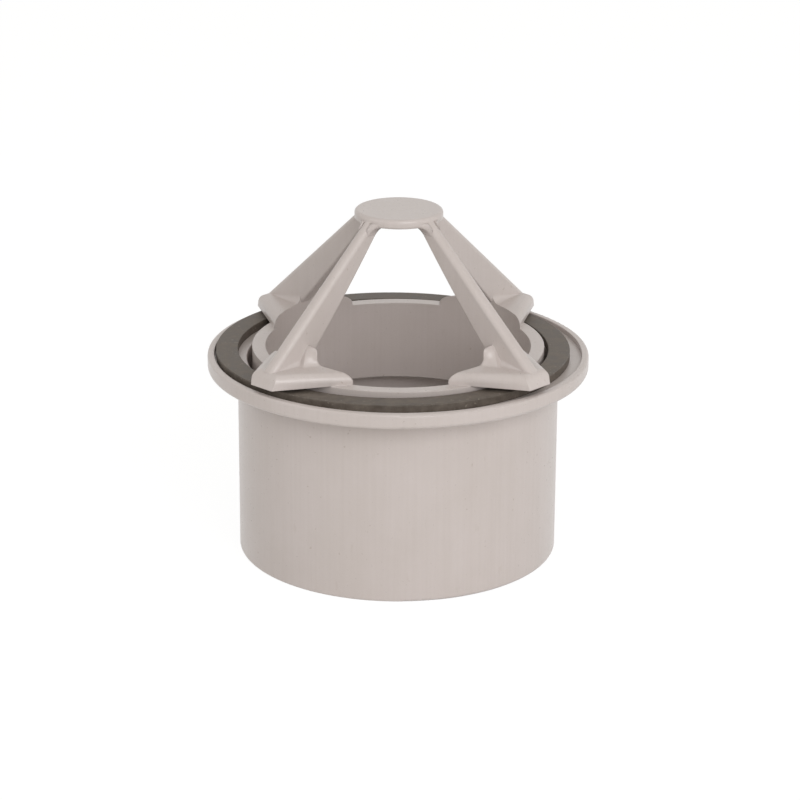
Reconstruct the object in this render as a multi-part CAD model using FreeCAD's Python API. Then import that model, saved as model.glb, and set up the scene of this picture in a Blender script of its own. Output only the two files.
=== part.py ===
# Gutter outlet: a flanged spigot, a sealing ring and a leaf guard that screws into the spigot.
# Millimetres, +Z up. The origin is on the outlet's axis, at the lower end of the spigot.

import FreeCAD
import Part

import math
import os

# Spigot, which goes into the downpipe
spigot_diameter = 110.0
spigot_wall = 3.3
spigot_length = 64.8
spigot_end_rounding = 0.8
bore_end_rounding = 0.5

# Flange, which lies under the gutter's sole
flange_overhang = 10.25
flange_thickness = 3.5
flange_upper_rounding = 0.8
flange_lower_rounding = 1.3
flange_root_rounding = 0.8
rim_width = 2.35
rim_height = 1.8
rim_inner_rounding = 0.3

# Sealing ring, which lies loose in the flange's recess and has slid against the rim
ring_thickness = 3.0
ring_play = 2.3
ring_rim_gap = 0.2
ring_thread_gap = 0.2
ring_slide_angle = 145.0
ring_edge_rounding = 0.25

# Collar of the leaf guard, inside the spigot
collar_gap = 1.7
collar_wall = 4.6
collar_length = 28.0
collar_edge_rounding = 0.5
thread_gap = 0.8
thread_length = 16.0
thread_lead_in = 0.8

# Clamping feet of the leaf guard, above the gutter's sole
sole_gap = 1.2
leg_count = 4
foot_inset = 0.55
foot_height = 4.9
foot_tip_width = 9.8
foot_tip_lean = 21.2
foot_side_flare = 31.2
foot_crown_radius = 120.0
foot_rounding = 3.0

# Web that stiffens each fin on its foot, on the side of the front or back window
web_height = 11.0
web_half_width = 6.4
web_base_depth = 8.2
web_top_depth = 0.3
web_base_crest = 7.4
web_top_crest = 1.9
web_foot_rounding = 2.0
web_top_rounding = 2.5

# Coves between a fin's sides and its foot, wide at the waterway and narrow towards the tip
cove_wide = 3.0
cove_narrow = 0.3
cove_length = 13.0

# Fins, which carry the disc
fin_top_thickness = 3.9
fin_base_thickness = 4.9
fin_tip_setback = 0.6
fin_disc_drop = 1.4
fin_throat_radius = 10.6
fin_inner_bow = 0.6
fin_edge_flat = 0.12
fin_inner_rounding = 0.5

# Disc on top of the leaf guard
disc_diameter = 30.0
disc_thickness = 3.1
guard_height = 48.0
disc_upper_rounding = 1.2
disc_lower_rounding = 0.5

# How far a hidden end runs into its neighbour, or a cutter past what it cuts
overrun = 2.0

# Largest share of the foot's lowest side that its rounding may take
foot_rounding_limit = 0.9

# Radii and levels that follow from the sizes above
spigot_radius = spigot_diameter / 2
bore_radius = spigot_radius - spigot_wall
flange_radius = spigot_radius + flange_overhang
recess_radius = flange_radius - rim_width
floor_z = spigot_length + flange_thickness
rim_z = floor_z + rim_height

ring_outer_radius = recess_radius - ring_play
ring_slide = ring_play - ring_rim_gap
thread_radius = bore_radius - thread_gap
ring_inner_radius = thread_radius + ring_slide + ring_thread_gap

collar_radius = bore_radius - collar_gap
waterway_radius = collar_radius - collar_wall
foot_z = floor_z + ring_thickness + sole_gap
collar_bottom_z = foot_z - collar_length
crest_z = foot_z + foot_height
disc_radius = disc_diameter / 2
disc_top_z = foot_z + guard_height
disc_bottom_z = disc_top_z - disc_thickness
foot_tip_radius = flange_radius - foot_inset
foot_tip_crest_radius = foot_tip_radius - foot_height * math.tan(math.radians(foot_tip_lean))


def turned(outline):
    """A solid of revolution about Z from a closed outline of (radius, z) points."""
    points = [FreeCAD.Vector(radius, 0, z) for radius, z in outline]
    face = Part.Face(Part.makePolygon(points + points[:1]))
    return face.revolve(FreeCAD.Vector(0, 0, 0), FreeCAD.Vector(0, 0, 1), 360)


def rounded_circles(solid, roundings):
    """The solid with its round edges filleted: each rounding is (radius, z, fillet radius)."""
    for radius, z, fillet in roundings:
        chosen = []
        for edge in solid.Edges:
            curve = edge.Curve
            if isinstance(curve, Part.Circle) and abs(curve.Radius - radius) + abs(curve.Center.z - z) < 1e-6:
                chosen.append(edge)
        solid = solid.makeFillet(fillet, chosen)
    return solid


def rounded_edges(solid, fillet, wanted):
    """The solid with a fillet on each edge that the test chooses."""
    return solid.makeFillet(fillet, [edge for edge in solid.Edges if wanted(edge)])


def spigot_body():
    outline = [
        (bore_radius, 0),
        (spigot_radius, 0),
        (spigot_radius, spigot_length),
        (flange_radius, spigot_length),
        (flange_radius, rim_z),
        (recess_radius, rim_z),
        (recess_radius, floor_z),
        (bore_radius, floor_z),
    ]
    return rounded_circles(
        turned(outline),
        [
            (spigot_radius, 0, spigot_end_rounding),
            (bore_radius, 0, bore_end_rounding),
            (spigot_radius, spigot_length, flange_root_rounding),
            (flange_radius, spigot_length, flange_lower_rounding),
            (flange_radius, rim_z, flange_upper_rounding),
            (recess_radius, rim_z, rim_inner_rounding),
            (bore_radius, floor_z, bore_end_rounding),
        ],
    )


def sealing_ring():
    top_z = floor_z + ring_thickness
    outline = [
        (ring_inner_radius, floor_z),
        (ring_outer_radius, floor_z),
        (ring_outer_radius, top_z),
        (ring_inner_radius, top_z),
    ]
    ring = rounded_circles(
        turned(outline),
        [(radius, z, ring_edge_rounding) for radius, z in outline],
    )
    angle = math.radians(ring_slide_angle)
    ring.translate(FreeCAD.Vector(ring_slide * math.cos(angle), ring_slide * math.sin(angle), 0))
    return ring


def collar():
    """The collar, with a plain band for the thread on its hidden lower part."""
    thread_top_z = collar_bottom_z + thread_length
    outline = [
        (waterway_radius, collar_bottom_z),
        (thread_radius - thread_lead_in, collar_bottom_z),
        (thread_radius, collar_bottom_z + thread_lead_in),
        (thread_radius, thread_top_z),
        (collar_radius, thread_top_z + thread_radius - collar_radius),
        (collar_radius, foot_z),
        (waterway_radius, foot_z),
    ]
    return rounded_circles(turned(outline), [(waterway_radius, collar_bottom_z, collar_edge_rounding)])


def foot_half_width(radius):
    slope = math.tan(math.radians(foot_side_flare))
    return foot_tip_width / 2 + slope * (foot_tip_radius - radius)


def foot_root_radius():
    """The radius at which the foot's flared sides reach the waterway."""
    slope = math.tan(math.radians(foot_side_flare))
    intercept = foot_tip_width / 2 + slope * foot_tip_radius
    half_b = slope * intercept
    a = 1 + slope**2
    c = intercept**2 - waterway_radius**2
    return (half_b + math.sqrt(half_b**2 - a * c)) / a


def crown_level(across):
    """The height of the foot's crowned top at a distance from the fin's middle plane."""
    return crest_z - foot_crown_radius + math.sqrt(foot_crown_radius**2 - across**2)


def prism(corners, direction):
    points = [FreeCAD.Vector(*corner) for corner in corners]
    return Part.Face(Part.makePolygon(points + points[:1])).extrude(direction)


def foot():
    """A wedge along +X with a leaning tip, flared sides and a crowned top, rounded all round its top."""
    root = foot_root_radius() - overrun
    half_root = foot_half_width(root)
    half_tip = foot_tip_width / 2
    plan = prism(
        [
            (root, -half_root, foot_z),
            (foot_tip_radius, -half_tip, foot_z),
            (foot_tip_radius, half_tip, foot_z),
            (root, half_root, foot_z),
        ],
        FreeCAD.Vector(0, 0, foot_height),
    )
    profile = prism(
        [
            (root, -half_root, foot_z),
            (foot_tip_radius, -half_root, foot_z),
            (foot_tip_crest_radius, -half_root, crest_z),
            (root, -half_root, crest_z),
        ],
        FreeCAD.Vector(0, 2 * half_root, 0),
    )
    left_top = FreeCAD.Vector(root, -half_root, crown_level(half_root))
    right_top = FreeCAD.Vector(root, half_root, crown_level(half_root))
    left_low = FreeCAD.Vector(root, -half_root, foot_z)
    right_low = FreeCAD.Vector(root, half_root, foot_z)
    crown = Part.Arc(left_top, FreeCAD.Vector(root, 0, crest_z), right_top).toShape()
    sides = Part.makePolygon([right_top, right_low, left_low, left_top])
    section = Part.Face(Part.Wire([crown] + sides.Edges))
    wedge = plan.common(profile).common(section.extrude(FreeCAD.Vector(foot_tip_radius, 0, 0)))

    def upper_edge(edge):
        ends = [vertex.Point for vertex in edge.Vertexes]
        return min(end.z for end in ends) > foot_z + 1e-6 and max(end.x for end in ends) > root + 1e-6

    root_height = crown_level(half_root) - foot_z
    return rounded_edges(wedge, min(foot_rounding, foot_rounding_limit * root_height), upper_edge)


def web_section(z, depth, crest_half_width):
    """A level cut through the web: full width at the waterway, its crest's width further out.

    Its inner end, which the waterway cuts off, reaches past the rounding of the web's top.
    """
    crest_radius = waterway_radius + depth
    inner_radius = waterway_radius - web_top_rounding - overrun
    corners = [
        (inner_radius, 0),
        (inner_radius, web_half_width),
        (waterway_radius, web_half_width),
        (crest_radius, crest_half_width),
        (crest_radius, 0),
    ]
    points = [FreeCAD.Vector(radius, across, z) for radius, across in corners]
    return Part.makePolygon(points + points[:1])


def webbed_foot():
    """The foot with the web on its +Y side, rounded where they meet and along the web's top."""
    top_z = foot_z + web_height
    base = web_section(foot_z, web_base_depth, web_base_crest)
    top = web_section(top_z, web_top_depth, web_top_crest)
    solid = foot().fuse(Part.makeLoft([base, top], True, True)).removeSplitter()

    def on_web(edge, z):
        """Whether the edge runs round the web at this level, outside the fin's middle plane."""
        ends = [vertex.Point for vertex in edge.Vertexes]
        level = max(abs(end.z - z) for end in ends) < crest_z - crown_level(2 * web_half_width)
        within = max(end.y for end in ends) < web_half_width + 1e-6
        outer = max(end.x for end in ends) > waterway_radius - 1e-6
        return level and within and outer and max(end.y for end in ends) > web_top_crest - 1e-6

    solid = rounded_edges(solid, web_foot_rounding, lambda edge: on_web(edge, crest_z))
    return rounded_edges(solid, web_top_rounding, lambda edge: on_web(edge, top_z))


def fin_half_thickness(z):
    slope = (fin_base_thickness - fin_top_thickness) / 2 / (disc_bottom_z - crest_z)
    return fin_base_thickness / 2 - slope * (z - crest_z)


def cove_section(radius, size):
    """A cut through both coves: two quarter arcs on the foot's crest, on either side of the fin."""
    halves = []
    low_across = fin_half_thickness(crest_z) + size
    reach = size * (1 - math.sqrt(0.5))
    for side in (1, -1):
        low = FreeCAD.Vector(radius, side * low_across, crown_level(low_across))
        high = FreeCAD.Vector(radius, side * fin_half_thickness(crest_z + size), crest_z + size)
        middle = FreeCAD.Vector(radius, side * (fin_half_thickness(crest_z) + reach), crest_z + reach)
        halves.append((low, middle, high, FreeCAD.Vector(low.x, low.y, crest_z - overrun)))
    (low, middle, high, deep), (other_low, other_middle, other_high, other_deep) = halves
    return Part.Wire(
        [
            Part.Arc(low, middle, high).toShape(),
            Part.makeLine(high, other_high),
            Part.Arc(other_high, other_middle, other_low).toShape(),
            Part.makeLine(other_low, other_deep),
            Part.makeLine(other_deep, deep),
            Part.makeLine(deep, low),
        ]
    )


def coves():
    wide = cove_section(waterway_radius - overrun, cove_wide)
    narrow = cove_section(waterway_radius + cove_length, cove_narrow)
    return Part.makeLoft([wide, narrow], True, True)


def fin_corners():
    """The fin's corners in the plane of the radius and Z, as throat, foot end, tip and shoulder."""
    return (
        FreeCAD.Vector(fin_throat_radius, 0, disc_bottom_z),
        FreeCAD.Vector(waterway_radius, 0, crest_z),
        FreeCAD.Vector(foot_tip_crest_radius - fin_tip_setback, 0, crest_z),
        FreeCAD.Vector(disc_radius, 0, disc_top_z - fin_disc_drop),
    )


def fin_profile():
    """The fin's outline, with a slightly bowed inner edge; both ends run into what they join."""
    throat, foot_end, tip, shoulder = fin_corners()
    chord = foot_end - throat
    bow = FreeCAD.Vector(chord.z, 0, -chord.x).normalize() * fin_inner_bow
    inner = Part.Arc(throat, (throat + foot_end) * 0.5 + bow, foot_end).toShape()
    down = FreeCAD.Vector(0, 0, -overrun)
    above_throat = FreeCAD.Vector(throat.x, 0, shoulder.z)
    others = Part.makePolygon([foot_end, foot_end + down, tip + down, tip, shoulder, above_throat, throat])
    return Part.Face(Part.Wire([inner] + others.Edges))


def joins(edge, first, last):
    """Whether the edge runs between these two corners, seen along Y."""
    ends = [vertex.Point for vertex in edge.Vertexes]
    for a, b in ((first, last), (last, first)):
        if len(ends) == 2 and abs(ends[0].x - a.x) + abs(ends[0].z - a.z) < 1e-4:
            return abs(ends[1].x - b.x) + abs(ends[1].z - b.z) < 1e-4
    return False


def fin():
    """A tapered plate in the plane of the radius, with a nearly full round outer edge."""
    plate = fin_profile().extrude(FreeCAD.Vector(0, 2 * fin_base_thickness, 0))
    plate.translate(FreeCAD.Vector(0, -fin_base_thickness, 0))
    half_low = fin_half_thickness(foot_z)
    half_high = fin_half_thickness(disc_top_z)
    corners = [
        (0, -half_low, foot_z),
        (0, half_low, foot_z),
        (0, half_high, disc_top_z),
        (0, -half_high, disc_top_z),
    ]
    taper = prism(corners, FreeCAD.Vector(flange_radius, 0, 0))
    throat, foot_end, tip, shoulder = fin_corners()
    outer_rounding = half_high - fin_edge_flat
    blade = rounded_edges(plate.common(taper), outer_rounding, lambda edge: joins(edge, tip, shoulder))
    return rounded_edges(blade, fin_inner_rounding, lambda edge: joins(edge, throat, foot_end))


def disc():
    plate = Part.makeCylinder(disc_radius, disc_thickness, FreeCAD.Vector(0, 0, disc_bottom_z))
    return rounded_circles(
        plate,
        [
            (disc_radius, disc_top_z, disc_upper_rounding),
            (disc_radius, disc_bottom_z, disc_lower_rounding),
        ],
    )


def leaf_guard():
    """Collar, legs and disc in one moulding. Every other leg is a mirror image of its neighbours."""
    middle = FreeCAD.Vector(0, 0, 0)
    waterway = Part.makeCylinder(waterway_radius, guard_height, FreeCAD.Vector(0, 0, foot_z))
    leg = webbed_foot().fuse(coves()).cut(waterway).fuse(fin()).removeSplitter()
    other_leg = leg.mirror(middle, FreeCAD.Vector(0, 1, 0))
    legs = []
    for index in range(leg_count):
        turned_leg = (other_leg if index % 2 else leg).copy()
        turned_leg.rotate(middle, FreeCAD.Vector(0, 0, 1), 360 / leg_count * (index + 0.5))
        legs.append(turned_leg)
    return collar().fuse(legs + [disc()]).removeSplitter()


os.makedirs("parts", exist_ok=True)
parts = {
    "spigot_body": spigot_body(),
    "gasket": sealing_ring(),
    "leaf_guard": leaf_guard(),
}
for name, shape in parts.items():
    shape.exportStep(f"parts/{name}.step")
    print(name, shape.isValid(), len(shape.Solids), shape.Volume)
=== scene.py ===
import math

import bmesh
import bpy
from mathutils import Matrix, Vector


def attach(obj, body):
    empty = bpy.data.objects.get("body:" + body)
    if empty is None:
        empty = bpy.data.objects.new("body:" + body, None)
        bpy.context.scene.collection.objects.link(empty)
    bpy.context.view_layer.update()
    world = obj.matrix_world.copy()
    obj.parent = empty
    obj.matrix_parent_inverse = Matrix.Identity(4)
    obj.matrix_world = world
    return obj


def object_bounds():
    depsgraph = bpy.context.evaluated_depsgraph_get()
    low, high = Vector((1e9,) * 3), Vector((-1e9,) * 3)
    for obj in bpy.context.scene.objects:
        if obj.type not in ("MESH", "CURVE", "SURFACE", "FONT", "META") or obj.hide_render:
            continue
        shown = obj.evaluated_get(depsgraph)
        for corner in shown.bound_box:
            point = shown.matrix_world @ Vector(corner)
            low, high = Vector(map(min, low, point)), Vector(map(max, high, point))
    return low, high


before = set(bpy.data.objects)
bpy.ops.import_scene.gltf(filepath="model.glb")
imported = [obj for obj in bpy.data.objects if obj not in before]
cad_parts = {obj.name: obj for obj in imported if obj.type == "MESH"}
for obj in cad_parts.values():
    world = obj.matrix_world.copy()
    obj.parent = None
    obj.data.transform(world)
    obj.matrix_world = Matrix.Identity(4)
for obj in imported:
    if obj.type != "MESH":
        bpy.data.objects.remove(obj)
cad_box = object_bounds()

# Lengths are in metres unless a name says otherwise. Colours are linear, and srgb() makes them.
mm = 0.001
half_turn_deg = 180.0
full_turn_deg = 360.0
lowest, highest = cad_box
middle_z = (lowest.z + highest.z) / 2

# Camera, fitted to the rims' ellipses and the four feet in the 800 pixel photograph
camera_distance = 1.0
camera_elevation_deg = 19.73
camera_roll_deg = 0.31
camera_turn_deg = -1.21
camera_target = Vector((0.72 * mm, 0.0, 51.89 * mm))
camera_clip_start = 50.0 * mm
focal_pixels = 2897.9
picture_pixels = 800
sensor_width_mm = 36.0

# Surroundings
white = (1.0, 1.0, 1.0, 1.0)
backdrop_strength = 1.0
ambient_colour = (1.0, 0.968, 0.905, 1.0)
ambient_strength = 0.54
floor_half = 4.0
floor_colour = (0.88, 0.88, 0.88, 1.0)
floor_glow = 1.075
floor_glow_share = 0.86
lamp_colour = (0.985, 0.985, 1.0)
lamp_distance = 1.5

# Rounding of edges in the shading. The PVC's grows with height where the fins run into the disc.
edge_softness = 0.4 * mm
disc_softness = 1.2 * mm
disc_blend_low = 112.5 * mm
disc_blend_high = 116.5 * mm
rubber_softness = 0.3 * mm

# Coves where the fins run into the disc
leg_angles_deg = (45.0, 135.0, 225.0, 315.0)
disc_thickness = 3.1 * mm
fin_top_half_thickness = 1.95 * mm
fin_throat_radius = 10.6 * mm
fin_inner_slope = 1.07
ridge_below_disc_top = 1.4 * mm
ridge_slope = 0.92
cove_radius = 3.0 * mm
cove_rim_inset = 0.3 * mm
cove_thinnest = mm / 100
cove_columns = 16
cove_rows = 14

# Thread on the collar's hidden band, in two halves so that it clears the rubber ring's near side
thread_search_height = 20.0 * mm
thread_search_margin = 0.02 * mm
thread_pitch = 4.0 * mm
thread_clearance = 0.25 * mm
thread_root_width = 2.4 * mm
thread_crest_width = 1.0 * mm
thread_root_depth = 0.3 * mm
thread_break_deg = 325.0
thread_arc_deg = 100.0
thread_run_out_deg = 12.0
thread_step_deg = 2.5

# ShaderNodeMix has sockets for every kind of data, and these are the ones that blend colours.
blend_share, blend_under, blend_over = 0, 6, 7
blend_result = 2


def srgb(red, green, blue):
    """A linear colour from an 8-bit one, by the sRGB curve."""
    channels = []
    for value in (red, green, blue):
        share = value / 255
        channels.append(share / 12.92 if share <= 0.04045 else ((share + 0.055) / 1.055) ** 2.4)
    return (*channels, 1.0)


class Tree:
    """Adds nodes to a material's or world's node tree and links them."""

    def __init__(self, owner):
        owner.use_nodes = True
        self.nodes = owner.node_tree.nodes
        self.links = owner.node_tree.links
        self.nodes.clear()

    def add(self, kind, **attributes):
        """A new node with these attributes."""
        node = self.nodes.new(kind)
        for name, value in attributes.items():
            setattr(node, name, value)
        return node

    def put(self, socket, value):
        """Links another node's output to an input, or sets the input to a plain value."""
        if isinstance(value, bpy.types.NodeSocket):
            self.links.new(value, socket)
        else:
            socket.default_value = value

    def feed(self, node, **inputs):
        """Fills inputs of a node by name. An underscore in a name stands for a space."""
        for name, value in inputs.items():
            self.put(node.inputs[name.replace("_", " ")], value)
        return node

    def feed_first(self, node, *values):
        """Fills a node's first inputs in their order."""
        for socket, value in zip(node.inputs, values):
            self.put(socket, value)
        return node

    def place(self):
        """A point's place in the object's own coordinates, which start at its lower end."""
        return self.add("ShaderNodeTexCoord").outputs["Object"]

    def level(self):
        """A point's height above the object's lower end."""
        return self.feed_first(self.add("ShaderNodeSeparateXYZ"), self.place()).outputs["Z"]

    def noise(self, scale, detail=3.0, roughness=0.5, stretch=(1.0, 1.0, 1.0)):
        """Fractal noise over the object's own coordinates, with its scale in cycles per metre."""
        stretched = self.add("ShaderNodeVectorMath", operation="MULTIPLY")
        self.feed_first(stretched, self.place(), stretch)
        node = self.add("ShaderNodeTexNoise")
        self.feed(node, Vector=stretched.outputs["Vector"])
        self.feed(node, Scale=scale, Detail=detail, Roughness=roughness)
        return node.outputs["Fac"]

    def calculate(self, operation, first, second):
        """The result of an operation on two numbers."""
        node = self.add("ShaderNodeMath", operation=operation)
        return self.feed_first(node, first, second).outputs["Value"]

    def ramp(self, value, low, high, to_low=0.0, to_high=1.0):
        """A number that goes from to_low to to_high while the value goes from low to high."""
        node = self.add("ShaderNodeMapRange", clamp=True)
        self.feed(node, Value=value, From_Min=low, From_Max=high, To_Min=to_low, To_Max=to_high)
        return node.outputs["Result"]

    def blend(self, share, under, over):
        """One colour laid over another by a share."""
        node = self.add("ShaderNodeMix", data_type="RGBA", blend_type="MIX")
        for index, value in ((blend_share, share), (blend_under, under), (blend_over, over)):
            self.put(node.inputs[index], value)
        return node.outputs[blend_result]

    def tint(self, under, over, mask, low, high, most=1.0):
        """A colour laid over another, not at all where the mask is low and most where high."""
        return self.blend(self.ramp(mask, low, high, to_high=most), under, over)

    def softened(self, radius, samples):
        """The normal of a surface whose edges look rounded."""
        node = self.add("ShaderNodeBevel", samples=samples)
        return self.feed(node, Radius=radius).outputs["Normal"]

    def relief(self, normal, height, distance, strength):
        """The normal of a surface that the height raises by up to the distance."""
        node = self.add("ShaderNodeBump")
        self.feed(node, Strength=strength, Distance=distance, Height=height, Normal=normal)
        return node.outputs["Normal"]

    def backdrop_rays(self):
        """1 for camera, glossy and transmission rays, which see the white backdrop, or else 0."""
        path = self.add("ShaderNodeLightPath").outputs
        seen = self.calculate("MAXIMUM", path["Is Camera Ray"], path["Is Glossy Ray"])
        return self.calculate("MAXIMUM", seen, path["Is Transmission Ray"])

    def end_with_surface(self, colour, roughness, normal, refraction):
        """Ends a material's tree with a plain opaque shader."""
        shader = self.add("ShaderNodeBsdfPrincipled")
        self.feed(shader, Base_Color=colour, Roughness=roughness, Normal=normal, IOR=refraction)
        self.feed(self.add("ShaderNodeOutputMaterial"), Surface=shader.outputs["BSDF"])

    def end_with_choice(self, kind, share, first, second):
        """Ends a tree with the second shader by a share, and with the first for the rest."""
        shaders = (first.outputs[0], second.outputs[0])
        mix = self.feed_first(self.add("ShaderNodeMixShader"), share, *shaders)
        self.feed(self.add(kind), Surface=mix.outputs["Shader"])


def moulded_pvc(name, scale_shift):
    """Satin moulded PVC: draw lines along the mould's pull, grain, small scuffs and dark specks.

    The shift changes the scale of the scuffs and specks, so that they differ between mouldings.
    """
    material = bpy.data.materials.new(name)
    tree = Tree(material)
    clouds = tree.noise(scale=38.0, detail=4.0, roughness=0.55)
    grain = tree.noise(scale=5200.0, detail=2.0)
    fine = tree.noise(scale=900.0, roughness=0.6)
    waves = tree.noise(scale=120.0)
    specks = tree.noise(scale=620.0 + scale_shift, detail=1.0)
    draw_lines = tree.noise(scale=820.0, detail=2.0, roughness=0.6, stretch=(1.0, 1.0, 0.02))
    scuffs = tree.noise(
        scale=340.0 + scale_shift, detail=4.0, roughness=0.7, stretch=(1.0, 1.0, 0.35)
    )

    colour = tree.tint(srgb(197, 188, 184), srgb(201, 192, 189), clouds, low=0.35, high=0.65)
    colour = tree.tint(colour, srgb(180, 168, 160), fine, low=0.3, high=0.7, most=0.08)
    colour = tree.tint(colour, srgb(183, 172, 166), draw_lines, low=0.35, high=0.75, most=0.18)
    colour = tree.tint(colour, srgb(178, 165, 156), scuffs, low=0.64, high=0.76, most=0.3)
    colour = tree.tint(colour, srgb(140, 122, 104), specks, low=0.765, high=0.79, most=0.3)
    roughness = tree.ramp(fine, low=0.3, high=0.7, to_low=0.27, to_high=0.36)

    softness = tree.ramp(
        tree.level(), disc_blend_low, disc_blend_high, to_low=edge_softness, to_high=disc_softness
    )
    normal = tree.softened(softness, samples=8)
    normal = tree.relief(normal, grain, distance=0.05 * mm, strength=0.12)
    normal = tree.relief(normal, draw_lines, distance=0.03 * mm, strength=0.3)
    normal = tree.relief(normal, scuffs, distance=0.06 * mm, strength=0.2)
    normal = tree.relief(normal, waves, distance=0.15 * mm, strength=0.2)
    tree.end_with_surface(colour, roughness, normal, refraction=1.53)
    return material


def rubber():
    """Dull dark rubber with a bloom of dust and some lint."""
    material = bpy.data.materials.new("rubber")
    tree = Tree(material)
    bloom = tree.ramp(tree.noise(scale=210.0, detail=6.0, roughness=0.7), low=0.36, high=0.66)
    fine = tree.noise(scale=2400.0, detail=2.0)
    lint = tree.noise(scale=780.0, detail=2.0)

    colour = tree.blend(bloom, srgb(78, 70, 62), srgb(108, 99, 90))
    colour = tree.tint(colour, srgb(150, 141, 130), lint, low=0.66, high=0.74, most=0.5)
    roughness = tree.ramp(bloom, low=0.0, high=1.0, to_low=0.5, to_high=0.7)

    normal = tree.softened(rubber_softness, samples=6)
    normal = tree.relief(normal, fine, distance=0.08 * mm, strength=0.3)
    normal = tree.relief(normal, bloom, distance=0.1 * mm, strength=0.2)
    tree.end_with_surface(colour, roughness, normal, refraction=1.5)
    return material


def dress(node_name, material):
    """Gives a CAD node its material."""
    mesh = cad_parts[node_name].data
    mesh.materials.clear()
    mesh.materials.append(material)


def new_object(name, data):
    """A new object in the scene."""
    thing = bpy.data.objects.new(name, data)
    bpy.context.scene.collection.objects.link(thing)
    return thing


def surroundings():
    """A world that looks white and gives soft ambient light."""
    world = bpy.data.worlds.new("studio")
    bpy.context.scene.world = world
    tree = Tree(world)
    ambient = tree.add("ShaderNodeBackground")
    tree.feed(ambient, Color=ambient_colour, Strength=ambient_strength)
    backdrop = tree.add("ShaderNodeBackground")
    tree.feed(backdrop, Color=white, Strength=backdrop_strength)
    tree.end_with_choice("ShaderNodeOutputWorld", tree.backdrop_rays(), ambient, backdrop)


def floor():
    """A pale floor that glows for the camera, so that it looks white and keeps a faint shadow."""
    mesh = bpy.data.meshes.new("floor")
    outline = ((-1, -1), (1, -1), (1, 1), (-1, 1))
    corners = [(x * floor_half, y * floor_half, lowest.z) for x, y in outline]
    mesh.from_pydata(corners, [], [(0, 1, 2, 3)])
    piece = new_object("floor", mesh)
    material = bpy.data.materials.new("floor")
    tree = Tree(material)
    plain = tree.feed(tree.add("ShaderNodeBsdfDiffuse"), Color=floor_colour)
    glow = tree.feed(tree.add("ShaderNodeEmission"), Color=white, Strength=floor_glow)
    share = tree.calculate("MULTIPLY", tree.backdrop_rays(), floor_glow_share)
    tree.end_with_choice("ShaderNodeOutputMaterial", share, plain, glow)
    mesh.materials.append(material)


def softbox(name, azimuth_deg, elevation_deg, size, power):
    """A square lamp that faces the object's middle, from an azimuth to the right of the camera."""
    azimuth, elevation = math.radians(azimuth_deg), math.radians(elevation_deg)
    level_share = math.cos(elevation)
    outward = Vector(
        (math.sin(azimuth) * level_share, -math.cos(azimuth) * level_share, math.sin(elevation))
    )
    lamp = bpy.data.lights.new(name, "AREA")
    lamp.shape = "SQUARE"
    lamp.size = size
    lamp.energy = power
    lamp.color = lamp_colour
    thing = new_object(name, lamp)
    thing.location = Vector((0, 0, middle_z)) + outward * lamp_distance
    thing.rotation_euler = (-outward).to_track_quat("-Z", "Y").to_euler()


def camera():
    """The photograph's camera."""
    elevation = math.radians(camera_elevation_deg)
    roll = math.radians(camera_roll_deg)
    back = Vector((0, -math.cos(elevation), math.sin(elevation)))
    level_right = Vector((1, 0, 0))
    level_up = Vector((0, math.sin(elevation), math.cos(elevation)))
    right = level_right * math.cos(roll) + level_up * math.sin(roll)
    up = level_up * math.cos(roll) - level_right * math.sin(roll)
    turn = Matrix.Rotation(math.radians(camera_turn_deg), 4, "Z")
    lens = bpy.data.cameras.new("camera")
    lens.sensor_width = sensor_width_mm
    lens.lens = focal_pixels / picture_pixels * sensor_width_mm
    lens.clip_start = camera_clip_start
    thing = new_object("camera", lens)
    place = Matrix((right, up, back)).transposed().to_4x4()
    place.translation = camera_target + back * camera_distance
    thing.matrix_world = turn @ place
    bpy.context.scene.camera = thing


def node_points(node_name):
    """The corners of a CAD node's mesh, in the shared frame."""
    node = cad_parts[node_name]
    return [node.matrix_world @ vertex.co for vertex in node.data.vertices]


def distance_out(point):
    """A point's distance from the object's axis."""
    return math.hypot(point.x, point.y)


def on_the_way(start, end, step, steps):
    """The number at a step on the way from the start to the end."""
    return start + (end - start) * step / steps


def add_to_guard(name, build, material):
    """Makes a closed mesh into a piece of the leaf guard."""
    bmesh.ops.recalc_face_normals(build, faces=build.faces)
    mesh = bpy.data.meshes.new(name)
    build.to_mesh(mesh)
    build.free()
    mesh.materials.append(material)
    piece = new_object(name, mesh)
    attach(piece, "guard")


def close_grid(build, columns):
    """The faces of a solid between columns that each list (lower, upper) corners row by row."""
    last_row = len(columns[0]) - 1
    for first, second in zip(columns, columns[1:]):
        for row in range(last_row):
            around = (first[row], first[row + 1], second[row + 1], second[row])
            for level in (0, 1):
                build.faces.new([corners[level] for corners in around])
        for row in (0, last_row):
            build.faces.new((*first[row], *reversed(second[row])))
    for column in (columns[0], columns[-1]):
        for near, far in zip(column, column[1:]):
            build.faces.new((*near, *reversed(far)))


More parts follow.
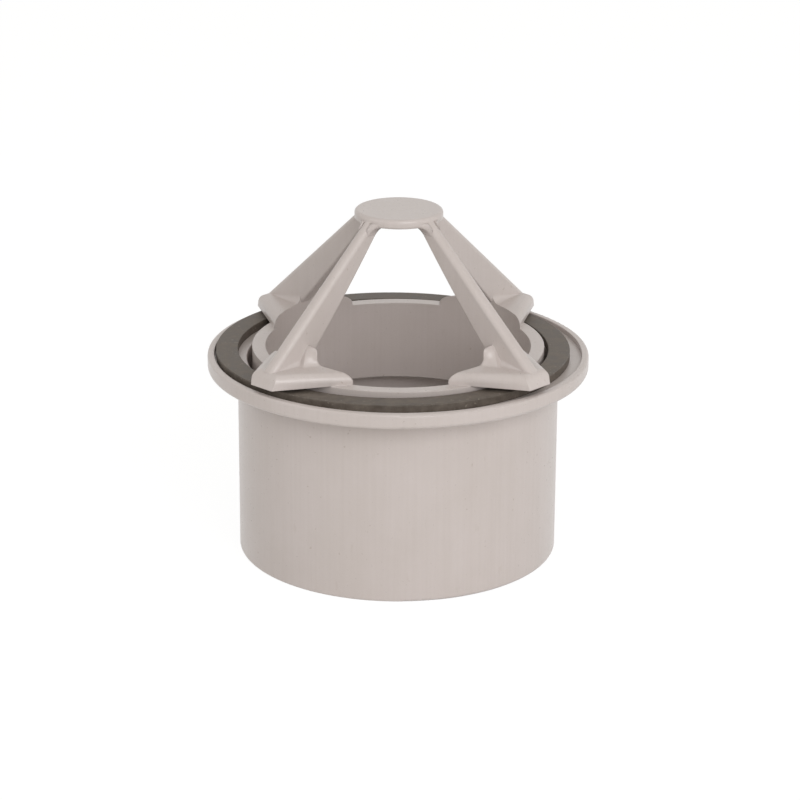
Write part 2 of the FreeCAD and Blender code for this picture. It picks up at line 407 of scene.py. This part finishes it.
def disc_coves(material):
    """Coves between each fin's sides and the disc's edge and underside."""
    ridge_z = highest.z - ridge_below_disc_top
    underside = highest.z - disc_thickness
    disc_radius = max(
        distance_out(point) for point in node_points("leaf_guard") if point.z > ridge_z
    )

    # Seen from above, the arc touches the fin's side and the disc's edge.
    centre_across = fin_top_half_thickness + cove_radius
    centre_out = math.sqrt((disc_radius + cove_radius) ** 2 - centre_across**2)
    tangent_across = centre_across * disc_radius / (disc_radius + cove_radius)

    def reach(across):
        """How far out the cove reaches at a distance from the fin's middle plane."""
        if across < tangent_across:
            return centre_out - math.sqrt(max(0.0, cove_radius**2 - (centre_across - across) ** 2))
        share = (across - tangent_across) / (centre_across - tangent_across)
        return math.sqrt(disc_radius**2 - across**2) - cove_rim_inset * share

    def section(column):
        """A column's distance from the fin's middle plane, and its rows of (out, z) pairs.

        Column -1 lies inside the fin.
        """
        share = max(0, column) / cove_columns
        across = fin_top_half_thickness + cove_radius * share
        if column < 0:
            across -= cove_rim_inset
        low = underside - cove_radius * (1 - math.sqrt(1 - (1 - share) ** 2))
        low_start = fin_throat_radius + (underside - low) / fin_inner_slope
        end = reach(max(across, fin_top_half_thickness))
        rows = []
        for row in range(cove_rows + 1):
            low_out = on_the_way(low_start, end, row, cove_rows)
            out = on_the_way(fin_throat_radius, end, row, cove_rows)
            ridge = ridge_z - ridge_slope * (out - disc_radius)
            high = min(ridge_z - cove_rim_inset, ridge - cove_rim_inset / 2)
            rows.append(((low_out, min(low, high - cove_thinnest)), (out, high)))
        return across, rows

    build = bmesh.new()
    for leg_angle in leg_angles_deg:
        turn = Matrix.Rotation(math.radians(leg_angle), 3, "Z")
        for side in (1, -1):
            columns = []
            for column in range(-1, cove_columns + 1):
                across, rows = section(column)
                columns.append(
                    [
                        [build.verts.new(turn @ Vector((out, side * across, z))) for out, z in row]
                        for row in rows
                    ]
                )
            close_grid(build, columns)
    add_to_guard("disc_coves", build, material)


def thread_ridge(build, start_deg, start_z, band, full_crest):
    """One ridge of the thread, which rises out of the band's radius and sinks back into it."""
    root = band - thread_root_depth
    rings = []
    for step in range(round(thread_arc_deg / thread_step_deg) + 1):
        along_deg = step * thread_step_deg
        left_deg = thread_arc_deg - along_deg
        angle = math.radians(start_deg + along_deg)
        rise = min(1.0, along_deg / thread_run_out_deg, left_deg / thread_run_out_deg)
        crest = band + rise * (full_crest - band)
        z = start_z + thread_pitch * along_deg / full_turn_deg
        outline = (
            (root, -thread_root_width / 2),
            (crest, -thread_crest_width / 2),
            (crest, thread_crest_width / 2),
            (root, thread_root_width / 2),
        )
        rings.append(
            [
                build.verts.new((out * math.cos(angle), out * math.sin(angle), z + above))
                for out, above in outline
            ]
        )
    for first, second in zip(rings, rings[1:]):
        for corner in range(len(first)):
            following = (corner + 1) % len(first)
            build.faces.new((first[corner], second[corner], second[following], first[following]))
    build.faces.new(rings[0])
    build.faces.new(rings[-1][::-1])


def collar_thread(material):
    """Ridges of the interrupted thread on the band round the collar's lower end."""
    points = node_points("leaf_guard")
    bore = min(distance_out(point) for point in node_points("spigot_body"))
    bottom = min(point.z for point in points)
    lower_part = [point for point in points if point.z < bottom + thread_search_height]
    band = max(distance_out(point) for point in lower_part)
    on_band = [
        point.z for point in lower_part if distance_out(point) > band - thread_search_margin
    ]
    low = min(on_band) + thread_root_width / 2
    high = max(on_band) - thread_root_width / 2
    ridge_rise = thread_pitch * thread_arc_deg / full_turn_deg

    build = bmesh.new()
    for half in (0, 1):
        gap_deg = (half_turn_deg - thread_arc_deg) / 2
        start_deg = thread_break_deg + half_turn_deg * half + gap_deg
        level = low + thread_pitch / 2 * half
        while level + ridge_rise < high:
            thread_ridge(build, start_deg, level, band, bore - thread_clearance)
            level += thread_pitch
    add_to_guard("collar_thread", build, material)


camera()
surroundings()
floor()
softbox("key", azimuth_deg=20.0, elevation_deg=27.0, size=0.8, power=9.2)
softbox("left_fill", azimuth_deg=-65.0, elevation_deg=38.0, size=0.8, power=2.2)
softbox("right_fill", azimuth_deg=85.0, elevation_deg=12.0, size=1.2, power=2.4)

guard_pvc = moulded_pvc("pvc_guard", scale_shift=37.0)
dress("spigot_body", moulded_pvc("pvc_body", scale_shift=0.0))
dress("leaf_guard", guard_pvc)
dress("gasket", rubber())
disc_coves(guard_pvc)
collar_thread(guard_pvc)

bpy.context.scene.view_settings.view_transform = "Standard"
